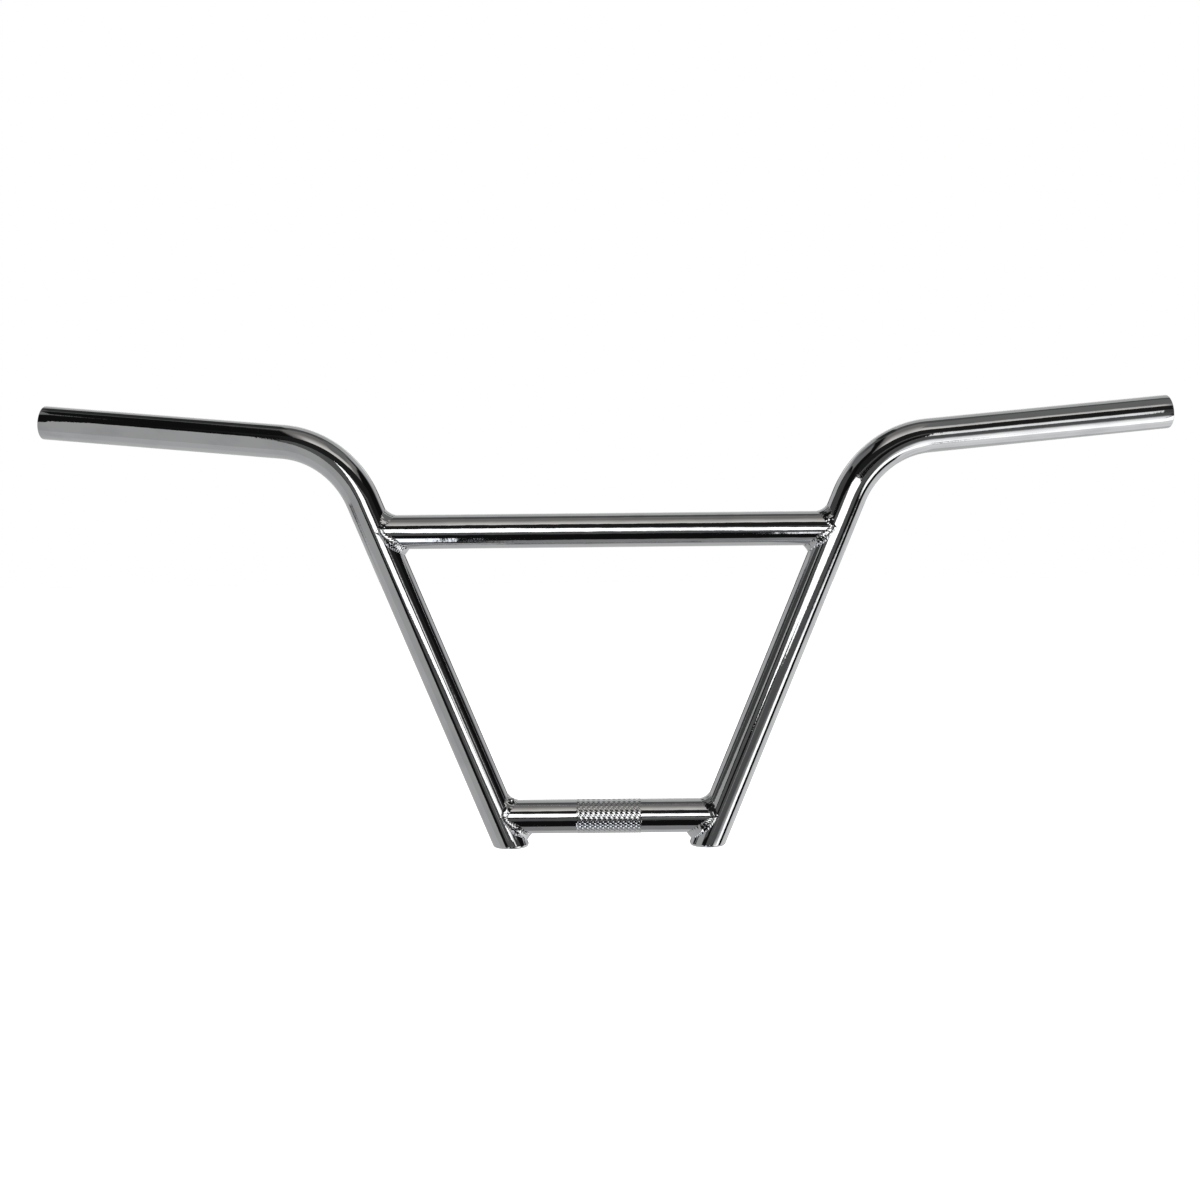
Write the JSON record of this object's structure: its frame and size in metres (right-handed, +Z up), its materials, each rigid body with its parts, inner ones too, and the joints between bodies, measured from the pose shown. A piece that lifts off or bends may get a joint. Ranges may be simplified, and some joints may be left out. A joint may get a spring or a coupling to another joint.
{
  "type": "bmx handlebar",
  "caption": "Chromed BMX handlebar: bent legs swept back into grips, welded to a crossbar and a knurled clamp tube.",
  "frame": {"origin": "middle of the clamp tube, on its axis", "axes": "+X along the clamp tube to the right as seen from the front, +Y back to the rider, +Z up in the plane of the legs"},
  "size_m": [0.7546, 0.0639, 0.293],
  "materials": {
    "chrome_leg": "polished, plated on steel",
    "chrome_crossbar": "polished, plated on steel",
    "chrome_clamp": "polished, plated on steel, knurled in the middle",
    "chrome_weld": "plated over the rippled weld"
  },
  "bodies": {
    "root": {"left_leg": "chrome_leg", "right_leg": "chrome_leg", "crossbar": "chrome_crossbar", "clamp_tube": "chrome_clamp", "weld_crossbar_left": "chrome_weld", "weld_crossbar_right": "chrome_weld", "weld_clamp_left": "chrome_weld", "weld_clamp_right": "chrome_weld"}
  },
  "joints": []
}
